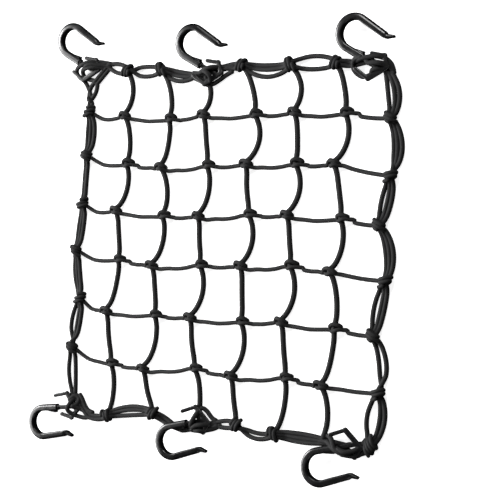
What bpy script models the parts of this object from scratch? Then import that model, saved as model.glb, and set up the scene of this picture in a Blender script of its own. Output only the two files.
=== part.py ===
"""Elastic cargo net with six plastic hooks, lying flat.

The net is knotted from one kind of elastic cord: six long cords run up and down, six cross cords are
tied to them, and two or three strands make the border.  Each hook is one moulding whose base plate
holds the border cord.  Sizes in the tables are millimetres; the model is built in metres, +Z up, and
the net lies on z = 0.
"""
import math

import bmesh
import bpy
from mathutils import Matrix, Vector

MM = 0.001
MERGE = 0.0000005
NEARLY_FLAT = math.radians(6.0)
SPECK_POINTS = 20
GROUND_LAYER = 0.5

# Where the middle of the net's square lies, so that the origin is below the middle of the whole part
# with its hooks.  All the tables below count from the middle of the net's square.
NET_MIDDLE = (18.26, -0.56)

# ---------------------------------------------------------------- net: driving sizes (mm)
CELLS = 7
PITCH = 54.3
LONG_CORD_RADIUS = 2.4
CROSS_CORD_RADIUS = 2.0
STRAND_RADIUS = 2.3
CORD_SIDES = 5
LONG_SPANS = 3
CROSS_SPANS = 3
STRAND_SPANS = 3
SHORT_STRETCH = 35.0
STAGGER = 0.06
STAGGER_COUNT = 7
SPLICE = 2.0

# The cross cords.  y_left and y_right are the heights of the first and last knot of the row, shift_left
# and shift_right move its knots sideways, and zigzag is how far they lie left and right in turn.
ROW_COLUMNS = ("y_left", "y_right", "shift_left", "shift_right", "zigzag")
ROWS = (
    (135.0, 139.5, 2.6, 2.6, 4.6),
    (81.5, 87.5, 1.5, 1.5, 4.5),
    (27.5, 33.3, -1.5, 1.8, 5.1),
    (-28.5, -20.5, -2.5, 0.7, 4.1),
    (-85.5, -77.5, -7.8, 1.5, 5.5),
    (-141.0, -134.0, -8.3, 0.8, 5.3),
)

# How a long cord and a cross cord run from one knot to the next.  Leaving a compact knot a long cord
# swings out to the right and turns back late; leaving a wide knot it runs nearly straight.
LONG_BULGE_AFTER_COMPACT = 6.0
LONG_BULGE_AFTER_WIDE = 2.0
LONG_TURN_AFTER_COMPACT = 3.0
LONG_TURN_AFTER_WIDE = 0.8
CROSS_SAG_AFTER_WIDE = 5.0
CROSS_SAG_AFTER_COMPACT = 4.0

# The border, clockwise.  Each row is a place on it, what is there, and how far the strands of the
# stretch that follows stand off the straight line to the next place, outwards positive; a stretch with
# two strands has no middle one.
BORDER_COLUMNS = ("place", "x", "y", "kind", "outer", "middle", "inner")
BORDER = (
    ("hook_1_right", -160.0, 190.5, "run", 4.5, None, -5.5),
    ("top_1", -132.0, 184.5, "knot", 3.8, None, -7.0),
    ("top_2", -86.0, 185.0, "knot", 1.0, -3.5, -9.0),
    ("hook_2_left", -44.0, 177.5, "plate", 0.0, None, 0.0),
    ("hook_2_right", -2.0, 186.0, "run", 2.5, None, -2.5),
    ("top_4", 18.0, 187.5, "knot", -0.5, -5.0, -12.5),
    ("top_5", 77.0, 187.0, "knot", 7.7, None, -5.7),
    ("top_6", 130.0, 187.5, "knot", 2.0, None, -2.5),
    ("hook_3_left", 150.0, 186.0, "plate", 0.0, None, 0.0),
    ("hook_3_right", 186.0, 179.0, "run", 10.5, 5.0, -2.0),
    ("right_1", 194.0, 131.5, "knot", 11.0, 6.0, 1.8),
    ("right_2", 197.0, 75.0, "knot", 5.5, 1.0, -5.5),
    ("right_3", 188.0, 26.0, "knot", 10.5, 6.0, 2.0),
    ("right_4", 197.5, -28.0, "knot", 4.0, 0.0, -7.5),
    ("right_5", 188.0, -83.0, "knot", 10.0, None, 2.0),
    ("right_6", 196.5, -138.5, "knot", 9.5, 4.0, -10.0),
    ("corner", 191.5, -190.0, "ball", 8.0, None, -2.0),
    ("hook_6_right", 163.0, -195.0, "plate", 0.0, None, 0.0),
    ("hook_6_left", 140.0, -193.0, "run", 4.5, 0.5, -4.0),
    ("bottom_5", 80.0, -193.0, "knot", 10.0, None, 4.0),
    ("bottom_4", 34.0, -189.0, "knot", 4.0, None, -3.6),
    ("hook_5_right", 8.0, -192.0, "plate", 0.0, None, 0.0),
    ("hook_5_left", -50.0, -201.0, "run", 2.5, None, -2.5),
    ("bottom_2", -74.0, -190.0, "knot", 1.5, -4.5, -8.3),
    ("bottom_1", -137.0, -200.0, "knot", 4.5, None, 0.5),
    ("hook_4_right", -164.0, -204.0, "plate", 0.0, None, 0.0),
    ("hook_4_left", -188.0, -182.0, "run", 7.5, None, -2.5),
    ("left_6", -192.0, -128.0, "knot", 9.0, 0.5, -3.5),
    ("left_5", -184.0, -72.0, "knot", 7.0, 3.2, -0.5),
    ("left_4", -193.0, -18.0, "knot", 3.5, 0.0, -3.5),
    ("left_3", -187.0, 35.0, "knot", 3.0, None, -2.5),
    ("left_2", -185.0, 90.0, "knot", 3.0, -1.5, -7.0),
    ("left_1", -184.0, 139.0, "knot", 1.6, None, -2.9),
    ("left_0", -186.0, 154.0, "run", 5.0, None, -4.0),
    ("hook_1_left", -190.0, 174.0, "plate", 0.0, None, 0.0),
)

# Where the ends of the long cords meet the border below a hook's plate.
LONG_CORD_ENDS = {(0, 3): (-27.0, 176.0), (7, 3): (-14.0, -188.0), (7, 6): (138.0, -189.0)}

# ---------------------------------------------------------------- hooks: driving sizes (mm)
BEND_RADIUS = 16.0
BAND_WIDTH = 6.4
BAND_DEPTH = 8.5
SHOULDER = 2.6
SHANK_LENGTH = 22.0
ARM_LENGTH = 34.0
ARM_TURN = math.radians(5.0)
LIP_LENGTH = 8.5
LIP_TURN = math.radians(33.0)
BEND_STEPS = 9
STEM_WIDTH = 5.0
PLATE_THICKNESS = 3.2
PLATE_BAR = 3.4
FAR_BAR = 5.0
BACK_TIP = (16.0, -13.5)
BACK_CORNER = (36.0, -15.5)
FAR_CORNER = (48.5, 4.5)
FRONT_CORNER = (40.0, 12.3)
FRONT_TIP = (21.0, 6.2)
STEM_END = 45.5
PLATE_FOOT = 6.7

# Each hook: the centre of its bend, the direction of its shank, whether it is turned over, and how
# far its bend is lifted off the plate's level.
HOOK_COLUMNS = ("name", "x", "y", "heading", "turned_over", "lift_angle")
HOOKS = (
    ("hook_1", -210.4, 219.4, -28.4, False, 3.0),
    ("hook_2", -45.0, 212.2, -27.3, False, 3.0),
    ("hook_3", 151.0, 215.4, -29.0, False, 4.0),
    ("hook_4", -225.5, -218.3, 8.9, True, 2.5),
    ("hook_5", -43.2, -216.3, 15.7, True, 4.5),
    ("hook_6", 137.9, -218.4, 16.6, True, 4.0),
)


# ---------------------------------------------------------------- scene, materials, small helpers
def clear_scene():
    for old in list(bpy.data.objects):
        bpy.data.objects.remove(old, do_unlink=True)


def collection(name, hidden=False):
    made = bpy.data.collections.new(name)
    bpy.context.scene.collection.children.link(made)
    made.hide_render = hidden
    return made


def material(name, colour, roughness):
    made = bpy.data.materials.new(name)
    made.use_nodes = True
    shader = made.node_tree.nodes["Principled BSDF"]
    shader.inputs["Base Color"].default_value = (*colour, 1.0)
    shader.inputs["Roughness"].default_value = roughness
    shader.inputs["Metallic"].default_value = 0.0
    return made


def named(columns, rows):
    return [dict(zip(columns, row)) for row in rows]


def mesh_object(name, bm, home):
    """Turn a bmesh into a linked object, with its doubles merged and its faces outward."""
    bmesh.ops.remove_doubles(bm, verts=bm.verts, dist=MERGE)
    bmesh.ops.recalc_face_normals(bm, faces=bm.faces)
    data = bpy.data.meshes.new(name)
    bm.to_mesh(data)
    bm.free()
    made = bpy.data.objects.new(name, data)
    home.objects.link(made)
    return made


def curve_tube(name, points, profile, home, sizes=None):
    """A tube along points (mm): a POLY curve with the profile curve as its section and filled ends."""
    data = bpy.data.curves.new(name, "CURVE")
    data.dimensions = "3D"
    data.twist_mode = "Z_UP"
    data.bevel_mode = "OBJECT"
    data.bevel_object = profile
    data.use_fill_caps = True
    spline = data.splines.new("POLY")
    spline.points.add(len(points) - 1)
    for i, point in enumerate(points):
        spline.points[i].co = (point[0] * MM, point[1] * MM, point[2] * MM, 1.0)
        spline.points[i].radius = sizes[i] if sizes else 1.0
    curve = bpy.data.objects.new(name, data)
    home.objects.link(curve)
    bpy.context.view_layer.update()
    mesh = bpy.data.meshes.new_from_object(curve.evaluated_get(bpy.context.evaluated_depsgraph_get()))
    bpy.data.objects.remove(curve, do_unlink=True)
    bm = bmesh.new()
    bm.from_mesh(mesh)
    bpy.data.meshes.remove(mesh)
    return mesh_object(name, bm, home)


def profile_curve(name, outline, home):
    """A closed outline (mm) that curve_tube carries along its path."""
    data = bpy.data.curves.new(name, "CURVE")
    data.dimensions = "2D"
    spline = data.splines.new("POLY")
    spline.points.add(len(outline) - 1)
    for point, (x, y) in zip(spline.points, outline):
        point.co = (x * MM, y * MM, 0.0, 1.0)
    spline.use_cyclic_u = True
    made = bpy.data.objects.new(name, data)
    home.objects.link(made)
    return made


def round_outline(radius, sides):
    """A regular polygon with a flat side below, whose middle is at the tube's centre."""
    turn = math.pi / sides
    return [
        (radius * math.sin(2 * math.pi * i / sides + turn), -radius * math.cos(2 * math.pi * i / sides + turn))
        for i in range(sides)
    ]


def stagger(parts):
    """Raise neighbouring pieces by a hair in turn, so that no two flat sides share a plane."""
    for i, piece in enumerate(parts):
        piece.data.transform(Matrix.Translation((0.0, 0.0, (i % STAGGER_COUNT) * STAGGER * MM)))


def delete_slivers(bm):
    """Delete loose edges and points, and the specks of a few faces that a union can leave."""
    bmesh.ops.delete(bm, geom=[edge for edge in bm.edges if not edge.link_faces], context="EDGES")
    bmesh.ops.delete(bm, geom=[vert for vert in bm.verts if not vert.link_faces], context="VERTS")
    seen = set()
    for seed in list(bm.verts):
        if seed in seen:
            continue
        island, front = {seed}, [seed]
        while front:
            vert = front.pop()
            for edge in vert.link_edges:
                other = edge.other_vert(vert)
                if other not in island:
                    island.add(other)
                    front.append(other)
        seen |= island
        if len(island) < SPECK_POINTS:
            bmesh.ops.delete(bm, geom=list(island), context="VERTS")


def unite(name, parts, home, paint):
    """Join closed solids into one with an exact Boolean union."""
    group = bpy.data.collections.new(name + "_pieces")
    first, rest = parts[0], parts[1:]
    for piece in rest:
        group.objects.link(piece)
    union = first.modifiers.new("union", "BOOLEAN")
    union.operation = "UNION"
    union.solver = "EXACT"
    union.operand_type = "COLLECTION"
    union.collection = group
    union.use_self = True
    bpy.context.view_layer.update()
    whole = first.evaluated_get(bpy.context.evaluated_depsgraph_get())
    mesh = bpy.data.meshes.new_from_object(whole)
    bm = bmesh.new()
    bm.from_mesh(mesh)
    bpy.data.meshes.remove(mesh)
    bmesh.ops.remove_doubles(bm, verts=bm.verts, dist=MERGE)
    verts = [vert for vert in bm.verts if vert.co.z > GROUND_LAYER * MM]
    edges = [edge for edge in bm.edges if min(vert.co.z for vert in edge.verts) > GROUND_LAYER * MM]
    bmesh.ops.dissolve_limit(bm, angle_limit=NEARLY_FLAT, verts=verts, edges=edges)
    delete_slivers(bm)
    made = mesh_object(name, bm, home)
    made.data.materials.clear()
    made.data.materials.append(paint)
    for piece in parts:
        bpy.data.objects.remove(piece, do_unlink=True)
    bpy.data.collections.remove(group)
    return made


# ---------------------------------------------------------------- the net
def is_wide(row, column):
    """Knots are wide and compact in turn, like the squares of a chessboard."""
    return (row + column) % 2 == 0


def knot_places():
    """Every crossing (row, column) -> (x, y) in mm, the border's knots included."""
    places = {}
    table = named(ROW_COLUMNS, ROWS)
    for row in range(1, CELLS):
        line = table[row - 1]
        for column in range(1, CELLS):
            across = (column - 1) / (CELLS - 2)
            shift = line["shift_left"] + (line["shift_right"] - line["shift_left"]) * across
            side = -line["zigzag"] if is_wide(row, column) else line["zigzag"]
            x = (column - CELLS / 2) * PITCH + shift + side
            y = line["y_left"] + (line["y_right"] - line["y_left"]) * across
            places[(row, column)] = (x, y)
    spots = {spot["place"]: (spot["x"], spot["y"]) for spot in named(BORDER_COLUMNS, BORDER)}
    for i in range(1, CELLS):
        for key, side in (((0, i), "top"), ((CELLS, i), "bottom"), ((i, 0), "left"), ((i, CELLS), "right")):
            if f"{side}_{i}" in spots:
                places[key] = spots[f"{side}_{i}"]
    places.update(LONG_CORD_ENDS)
    return places


def resting(radius):
    """Centre height of a cord whose flat lower side lies on z = 0."""
    return radius * math.cos(math.pi / CORD_SIDES)


def long_cord_points(column, places):
    """A long cord from the top border to the bottom one, in LONG_SPANS steps a cell."""
    points = []
    rest = resting(LONG_CORD_RADIUS)
    for row in range(CELLS):
        (x0, y0), (x1, y1) = places[(row, column)], places[(row + 1, column)]
        wide = is_wide(row, column)
        bulge = LONG_BULGE_AFTER_WIDE if wide else LONG_BULGE_AFTER_COMPACT
        turn = LONG_TURN_AFTER_WIDE if wide else LONG_TURN_AFTER_COMPACT
        for step in range(LONG_SPANS):
            u = step / LONG_SPANS
            x = x0 + (x1 - x0) * u**turn + bulge * math.sin(math.pi * u)
            y = y0 + (y1 - y0) * u
            lift = KNOT_LIFT if step == 0 and 0 < row else 0.0
            points.append((x, y, rest + lift))
    points.append((*places[(CELLS, column)], rest))
    return points


def cross_cord_points(row, places):
    """A cross cord from the left border to the right one, sagging between its knots."""
    points = []
    rest = resting(CROSS_CORD_RADIUS)
    for column in range(CELLS):
        (x0, y0), (x1, y1) = places[(row, column)], places[(row, column + 1)]
        sag = CROSS_SAG_AFTER_WIDE if is_wide(row, column) else CROSS_SAG_AFTER_COMPACT
        for step in range(CROSS_SPANS):
            u = step / CROSS_SPANS
            x = x0 + (x1 - x0) * u
            y = y0 + (y1 - y0) * u - sag * math.sin(math.pi * u)
            lift = KNOT_LIFT if step == 0 and 0 < column else 0.0
            points.append((x, y, rest + lift))
    points.append((*places[(row, CELLS)], rest))
    return points


KNOT_LIFT = 2.2
KNOT_HEIGHT = 4.8
WIDE_KNOT = (8.6, 5.2)
WIDE_TURN = math.radians(-20.0)
COMPACT_KNOT = (6.6, 5.4)
COMPACT_TURN = math.radians(15.0)
EDGE_KNOT = (8.4, 5.0, 5.6)
BALL_KNOT = (6.0, 8.2, 6.4)
RIDGE = 0.12
MESH_KNOT_RINGS = 4
EDGE_KNOT_RINGS = 3


def lump(name, place, size, turn, rings, home):
    """The body of a knot: a low round solid, flat where it lies on z = 0."""
    bm = bmesh.new()
    bmesh.ops.create_uvsphere(bm, u_segments=6, v_segments=rings, radius=1.0)
    for vert in bm.verts:
        around = math.atan2(vert.co.y, vert.co.x)
        vert.co *= 1.0 + RIDGE * math.cos(3 * around) * (1.0 - abs(vert.co.z))
    bm.transform(Matrix.Diagonal((size[0] * MM, size[1] * MM, size[2] * MM, 1.0)))
    bm.transform(Matrix.Rotation(turn, 4, "Z"))
    bm.transform(Matrix.Translation((place[0] * MM, place[1] * MM, (size[2] - 0.6) * MM)))
    for vert in bm.verts:
        vert.co.z = max(vert.co.z, 0.0)
    return mesh_object(name, bm, home)


def mesh_knots(places, home):
    parts = []
    for row in range(1, CELLS):
        for column in range(1, CELLS):
            wide = is_wide(row, column)
            size = (*(WIDE_KNOT if wide else COMPACT_KNOT), KNOT_HEIGHT)
            turn = WIDE_TURN if wide else COMPACT_TURN
            place = places[(row, column)]
            tag = f"{row}_{column}"
            parts.append(lump("knot_" + tag, place, size, turn, MESH_KNOT_RINGS, home))
    return parts


def strand_points(start, end, offset, spans, end_gap):
    """One strand from a place to the next: a bow of height offset, its ends end_gap off the line."""
    x0, y0 = start
    x1, y1 = end
    length = math.hypot(x1 - x0, y1 - y0)
    out = (-(y1 - y0) / length, (x1 - x0) / length)
    points = []
    for step in range(spans + 1):
        u = step / spans
        bow = end_gap + (offset - end_gap) * math.sin(math.pi * u) ** 0.8
        z = resting(STRAND_RADIUS) + (KNOT_LIFT if step in (0, spans) else 0.0)
        points.append((x0 + (x1 - x0) * u + out[0] * bow, y0 + (y1 - y0) * u + out[1] * bow, z))
    return points


END_GAP = {"outer": 2.4, "middle": 0.0, "inner": -2.4}


def border_parts(profile, home):
    """The strands of every open stretch, and the wrapped knots that hold them together."""
    parts = []
    spots = named(BORDER_COLUMNS, BORDER)
    for spot, following in zip(spots, spots[1:] + spots[:1]):
        start, end = (spot["x"], spot["y"]), (following["x"], following["y"])
        if spot["kind"] != "plate":
            for strand, gap in END_GAP.items():
                if spot[strand] is None:
                    continue
                spans = STRAND_SPANS if math.dist(start, end) > SHORT_STRETCH else 2
                points = strand_points(start, end, spot[strand], spans, gap)
                points = settle_ends(points, spot["kind"], following["kind"])
                parts.append(curve_tube(f"{strand}_{spot['place']}", points, profile, home))
        if spot["kind"] == "knot":
            along = math.atan2(end[1] - start[1], end[0] - start[0])
            turn = along + math.pi / 2
            parts.append(lump("tie_" + spot["place"], start, EDGE_KNOT, turn, EDGE_KNOT_RINGS, home))
        if spot["kind"] == "ball":
            parts.append(lump("ball_" + spot["place"], start, BALL_KNOT, 0.0, MESH_KNOT_RINGS, home))
    return parts


def settle_ends(points, start_kind, end_kind):
    """Only a knot lifts the strands: elsewhere their ends lie on z = 0 too."""
    rest = resting(STRAND_RADIUS)
    if start_kind in ("run", "plate"):
        points[0] = (*points[0][:2], rest)
    if end_kind in ("run", "plate"):
        points[-1] = (*points[-1][:2], rest)
    return points


# ---------------------------------------------------------------- cords at the hooks
def hook_to_world(hook, u, q, height):
    """From a hook's own plane (u along the shank, q off its axis towards the free arm) to world mm."""
    heading = math.radians(hook["heading"])
    v = q - BEND_RADIUS
    side = -1.0 if hook["turned_over"] else 1.0
    x = hook["x"] + u * math.cos(heading) - side * v * math.sin(heading)
    y = hook["y"] + u * math.sin(heading) + side * v * math.cos(heading)
    return (x, y, height)


def stem_level(hook, u):
    """Height of the middle of the hook's thickness at u."""
    return PLATE_FOOT + (FAR_CORNER[0] - u) * math.sin(math.radians(hook["lift_angle"]))


OVER_STEM = PLATE_THICKNESS / 2 + STRAND_RADIUS + 0.5

# The strand that holds each plate: under the back arm, up through its window, over the stem and down
# under the front arm.  u and q are in the hook's plane; level is 0 on the ground and 1 over the stem.
BIGHT_COLUMNS = ("u", "q", "level")
BIGHT = (
    (21.0, -19.0, 0.0),
    (24.0, -12.5, 0.0),
    (27.0, -8.0, 0.45),
    (30.0, -3.4, 1.0),
    (33.5, 4.4, 1.0),
    (36.4, 6.2, 0.5),
    (38.8, 7.2, 0.0),
    (42.0, 11.0, 0.0),
    (46.0, 17.0, 0.0),
)


def past(point, start, by):
    """The point that lies by (mm) beyond point, seen from start, at point's height."""
    length = math.dist(point[:2], start[:2])
    return (
        point[0] + (point[0] - start[0]) * by / length,
        point[1] + (point[1] - start[1]) * by / length,
        point[2],
    )


def plate_strands(profile, home):
    """At each plate one strand passes below it and one goes over the stem."""
    parts = []
    rest = resting(STRAND_RADIUS)
    spots = named(BORDER_COLUMNS, BORDER)
    hooks = {hook["name"]: hook for hook in named(HOOK_COLUMNS, HOOKS)}
    for spot, following in zip(spots, spots[1:] + spots[:1]):
        if spot["kind"] != "plate":
            continue
        hook = hooks[spot["place"][:6]]
        start, end = (spot["x"], spot["y"], rest), (following["x"], following["y"], rest)
        middle = ((start[0] + end[0]) / 2, (start[1] + end[1]) / 2, rest)
        under = [past(start, middle, SPLICE), middle, past(end, middle, SPLICE)]
        parts.append(curve_tube("under_" + hook["name"], under, profile, home))
        bight = []
        for row in named(BIGHT_COLUMNS, BIGHT):
            top = stem_level(hook, row["u"]) + OVER_STEM
            bight.append(hook_to_world(hook, row["u"], row["q"], rest + (top - rest) * row["level"]))
        near_start = math.dist(bight[0][:2], start[:2]) <= math.dist(bight[0][:2], end[:2])
        first, last = (start, end) if near_start else (end, start)
        over = [past(first, bight[0], SPLICE / 2), *bight, past(last, bight[-1], SPLICE / 2)]
        parts.append(curve_tube(f"over_{hook['name']}", over, profile, home))
    return parts


def build_net(parts_home, cutters, cord):
    places = knot_places()
    long_profile = profile_curve("long_section", round_outline(LONG_CORD_RADIUS, CORD_SIDES), cutters)
    cross_profile = profile_curve("cross_section", round_outline(CROSS_CORD_RADIUS, CORD_SIDES), cutters)
    strand_profile = profile_curve("strand_section", round_outline(STRAND_RADIUS, CORD_SIDES), cutters)
    pieces = []
    for column in range(1, CELLS):
        points = long_cord_points(column, places)
        pieces.append(curve_tube(f"long_{column}", points, long_profile, cutters))
    for row in range(1, CELLS):
        points = cross_cord_points(row, places)
        pieces.append(curve_tube(f"cross_{row}", points, cross_profile, cutters))
    pieces += mesh_knots(places, cutters)
    pieces += border_parts(strand_profile, cutters)
    pieces += plate_strands(strand_profile, cutters)
    stagger(pieces)
    return unite("net", pieces, parts_home, cord)


# ---------------------------------------------------------------- the hooks
def band_outline():
    """Section of the hook's band: flat faces, rounded towards the outside of the bend."""
    half_w, half_d = BAND_WIDTH / 2, BAND_DEPTH / 2
    return [
        (half_w, -half_d + SHOULDER),
        (half_w, half_d - SHOULDER),
        (half_w - SHOULDER, half_d),
        (-half_w + 1.0, half_d),
        (-half_w, half_d - 1.0),
        (-half_w, -half_d + 1.0),
        (-half_w + 1.0, -half_d),
        (half_w - SHOULDER, -half_d),
    ]


def hook_path():
    """Centre line of the band from the plate's side, round the bend and out to the lip, with its size."""
    points = [(SHANK_LENGTH, -BEND_RADIUS, 1.0), (SHANK_LENGTH * 0.5, -BEND_RADIUS, 1.0)]
    sweep = math.pi - ARM_TURN
    for step in range(BEND_STEPS + 1):
        angle = -math.pi / 2 - sweep * step / BEND_STEPS
        points.append((BEND_RADIUS * math.cos(angle), BEND_RADIUS * math.sin(angle), 1.0))
    x, y, _ = points[-1]
    for share, size in ((0.5, 0.98), (1.0, 0.92)):
        reach = ARM_LENGTH * share
        points.append((x + reach * math.cos(ARM_TURN), y - reach * math.sin(ARM_TURN), size))
    x, y, _ = points[-1]
    for share, size in ((0.35, 0.62), (1.0, 0.34)):
        reach = LIP_LENGTH * share
        lip = LIP_TURN - ARM_TURN
        points.append((x + reach * math.cos(lip), y + reach * math.sin(lip), size))
    return points


def bar(name, start, end, width, thickness, home):
    """A straight bar of the plate with bevelled long edges, from start to end in the hook's plane."""
    (u0, v0), (u1, v1) = start, end
    length = math.hypot(u1 - u0, v1 - v0)
    bm = bmesh.new()
    bmesh.ops.create_cube(bm, size=1.0)
    bm.transform(Matrix.Diagonal((length * MM, width * MM, thickness * MM, 1.0)))
    long_edges = [e for e in bm.edges if abs(e.verts[0].co.x - e.verts[1].co.x) > 0.5 * length * MM]
    bmesh.ops.bevel(bm, geom=long_edges, offset=0.6 * MM, segments=1, affect="EDGES")
    bm.transform(Matrix.Rotation(math.atan2(v1 - v0, u1 - u0), 4, "Z"))
    bm.transform(Matrix.Translation(((u0 + u1) / 2 * MM, (v0 + v1) / 2 * MM, 0.0)))
    return mesh_object(name, bm, home)


def build_hook(hook, parts_home, cutters, profile, plastic):
    """One moulding: band, barb, stem and anchor-shaped plate, built flat and then laid in place."""
    tag = hook["name"]
    path = hook_path()
    band = curve_tube(tag + "_band", [(x, y, 0.0) for x, y, _ in path], profile, cutters, [p[2] for p in path])

    def shifted(point):
        return (point[0], point[1] - BEND_RADIUS)

    stem_start = (SHANK_LENGTH - 6.0, -BEND_RADIUS)
    pieces = [band]
    pieces.append(bar(tag + "_stem", stem_start, (STEM_END, -BEND_RADIUS), STEM_WIDTH, PLATE_THICKNESS, cutters))
    barb_end = (SHANK_LENGTH + 2.2, -BEND_RADIUS + 1.6)
    barb_start = (SHANK_LENGTH - 7.0, -BEND_RADIUS + 2.6)
    pieces.append(bar(tag + "_barb", barb_start, barb_end, 3.2, BAND_DEPTH - 2.5, cutters))
    corners = (
        ("back", BACK_TIP, BACK_CORNER, PLATE_BAR, -0.02),
        ("far", BACK_CORNER, FAR_CORNER, FAR_BAR, 0.0),
        ("turn", FAR_CORNER, FRONT_CORNER, PLATE_BAR + 0.6, 0.02),
        ("front", FRONT_CORNER, FRONT_TIP, PLATE_BAR, -0.02),
    )
    for part_name, start, end, width, thinner in corners:
        thickness = PLATE_THICKNESS + thinner
        pieces.append(bar(f"{tag}_{part_name}", shifted(start), shifted(end), width, thickness, cutters))
    for part_name, corner in (("back", BACK_CORNER), ("far", FAR_CORNER), ("front", FRONT_CORNER)):
        pieces.append(corner_post(f"{tag}_{part_name}_corner", shifted(corner), cutters))
    made = unite(tag, pieces, parts_home, plastic)
    place_hook(made, hook)
    return made


def corner_post(name, place, home):
    """The rounded corner where an arm of the plate meets its far bar."""
    bm = bmesh.new()
    bmesh.ops.create_cone(
        bm, cap_ends=True, segments=8, radius1=FAR_BAR / 2 * MM, radius2=FAR_BAR / 2 * MM,
        depth=(PLATE_THICKNESS + 0.04) * MM,
    )
    bm.transform(Matrix.Translation((place[0] * MM, place[1] * MM, 0.0)))
    return mesh_object(name, bm, home)


def place_hook(made, hook):
    """Turn the moulding over if need be, tilt it about the plate's far end and set it in the net."""
    pivot = Vector((FAR_CORNER[0] * MM, 0.0, 0.0))
    over = Matrix.Rotation(math.pi, 4, "X") if hook["turned_over"] else Matrix.Identity(4)
    tilt = Matrix.Rotation(math.radians(hook["lift_angle"]), 4, "Y")
    about_pivot = Matrix.Translation(pivot) @ tilt @ Matrix.Translation(-pivot)
    heading = Matrix.Rotation(math.radians(hook["heading"]), 4, "Z")
    place = Matrix.Translation((hook["x"] * MM, hook["y"] * MM, PLATE_FOOT * MM))
    made.data.transform(place @ heading @ about_pivot @ over)


# ---------------------------------------------------------------- build
def main():
    clear_scene()
    parts_home = collection("cargo_net")
    cutters = collection("cutters", hidden=True)
    cord = material("black_braided_cord", (0.022, 0.022, 0.024), 0.78)
    plastic = material("black_moulded_plastic", (0.018, 0.018, 0.019), 0.42)
    solids = [build_net(parts_home, cutters, cord)]
    profile = profile_curve("band_section", band_outline(), cutters)
    for hook in named(HOOK_COLUMNS, HOOKS):
        solids.append(build_hook(hook, parts_home, cutters, profile, plastic))
    for solid in solids:
        solid.data.transform(Matrix.Translation((NET_MIDDLE[0] * MM, NET_MIDDLE[1] * MM, 0.0)))
    for left in cutters.objects:
        left.display_type = "WIRE"
        left.hide_render = True


main()
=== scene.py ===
"""Elastic cargo net with six plastic hooks, lying flat on a pale studio floor.

Lengths in the tables are millimetres, counted from the middle of the net's square; the finished
pieces are in metres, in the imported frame.  The sections follow the net as it is put together: the
long cords, the cross cords knotted over them, the border with its tied-in cord ends, the border
cord at the hooks' plates, and the hooks.
"""
import math

import bpy
import numpy as np
from mathutils import Matrix, Vector


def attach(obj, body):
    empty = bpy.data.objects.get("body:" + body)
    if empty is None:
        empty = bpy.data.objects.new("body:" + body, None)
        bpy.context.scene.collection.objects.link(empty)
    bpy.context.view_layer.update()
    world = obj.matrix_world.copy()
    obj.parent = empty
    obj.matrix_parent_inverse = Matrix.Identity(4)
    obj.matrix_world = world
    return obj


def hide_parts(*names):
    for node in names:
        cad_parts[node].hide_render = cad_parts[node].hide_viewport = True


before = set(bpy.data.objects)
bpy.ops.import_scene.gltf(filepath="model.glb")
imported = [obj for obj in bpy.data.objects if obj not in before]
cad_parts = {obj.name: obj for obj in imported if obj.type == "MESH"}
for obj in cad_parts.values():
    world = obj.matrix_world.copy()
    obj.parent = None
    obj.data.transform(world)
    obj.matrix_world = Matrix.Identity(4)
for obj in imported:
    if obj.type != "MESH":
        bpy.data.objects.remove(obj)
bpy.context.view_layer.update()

# ---------------------------------------------------------------- camera
# A long lens above the floor and to the right of the net, turned so that the net's left and right
# borders stand almost upright in its view.
MM = 0.001
NET_MIDDLE = np.array([18.26, -0.56, 0.0])
VIEW_POINT = np.array([36.3, -5.8, 0.0])
VIEW_DISTANCE = 1350.6
VIEW_YAW = math.radians(32.06)
VIEW_PITCH = math.radians(0.97)
VIEW_ROLL = math.radians(3.03)
LENS_MM = 92.9
SENSOR_MM = 36.0

back = np.array([
    math.sin(VIEW_YAW) * math.cos(VIEW_PITCH),
    math.sin(VIEW_PITCH),
    math.cos(VIEW_YAW) * math.cos(VIEW_PITCH),
])
level_right = np.array([math.cos(VIEW_YAW), 0.0, -math.sin(VIEW_YAW)])
level_up = np.cross(back, level_right)
right = level_right * math.cos(VIEW_ROLL) + level_up * math.sin(VIEW_ROLL)
up = np.cross(back, right)
eye = (VIEW_POINT + NET_MIDDLE + back * VIEW_DISTANCE) * MM


def put_in_scene(name, data):
    """An object that shows the data, at the origin."""
    made = bpy.data.objects.new(name, data)
    bpy.context.scene.collection.objects.link(made)
    return made


camera_data = bpy.data.cameras.new("camera")
camera_data.lens = LENS_MM
camera_data.sensor_width = SENSOR_MM
camera_data.clip_end = 20.0
camera = put_in_scene("camera", camera_data)
turned_to_view = Matrix(np.column_stack([right, up, back]).tolist()).to_4x4()
camera.matrix_world = Matrix.Translation(Vector(eye.tolist())) @ turned_to_view
bpy.context.scene.camera = camera

# ---------------------------------------------------------------- long cords
# Six runs of elastic cord nearly 6 mm thick, a bundle of rubber strands in a black polyester braid,
# laid side by side from the top border to the bottom one.  Each rises a little where it is knotted.
CELLS = 7
PITCH = 54.3
LONG_CORD_RADIUS = 2.9
CROSS_CORD_RADIUS = 2.25
# Where each long cord lies, left to right, half way between two rows of knots, by stretch from the top.
LONG_MIDDLES = (
    (-125.5, -73.5, -21.5, 31.5, 89.5, 139.5),
    (-126.5, -73.5, -24.5, 42.5, 88.0, 146.5),
    (-126.5, -72.0, -17.5, 30.0, 94.0, 139.5),
    (-135.5, -74.0, -26.5, 40.5, 85.0, 146.5),
    (-135.5, -82.0, -18.5, 31.0, 94.0, 143.5),
    (-142.5, -77.5, -29.5, 36.5, 85.0, 141.0),
    (-131.5, -85.5, -15.5, 27.5, 89.5, 140.0),
)
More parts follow.
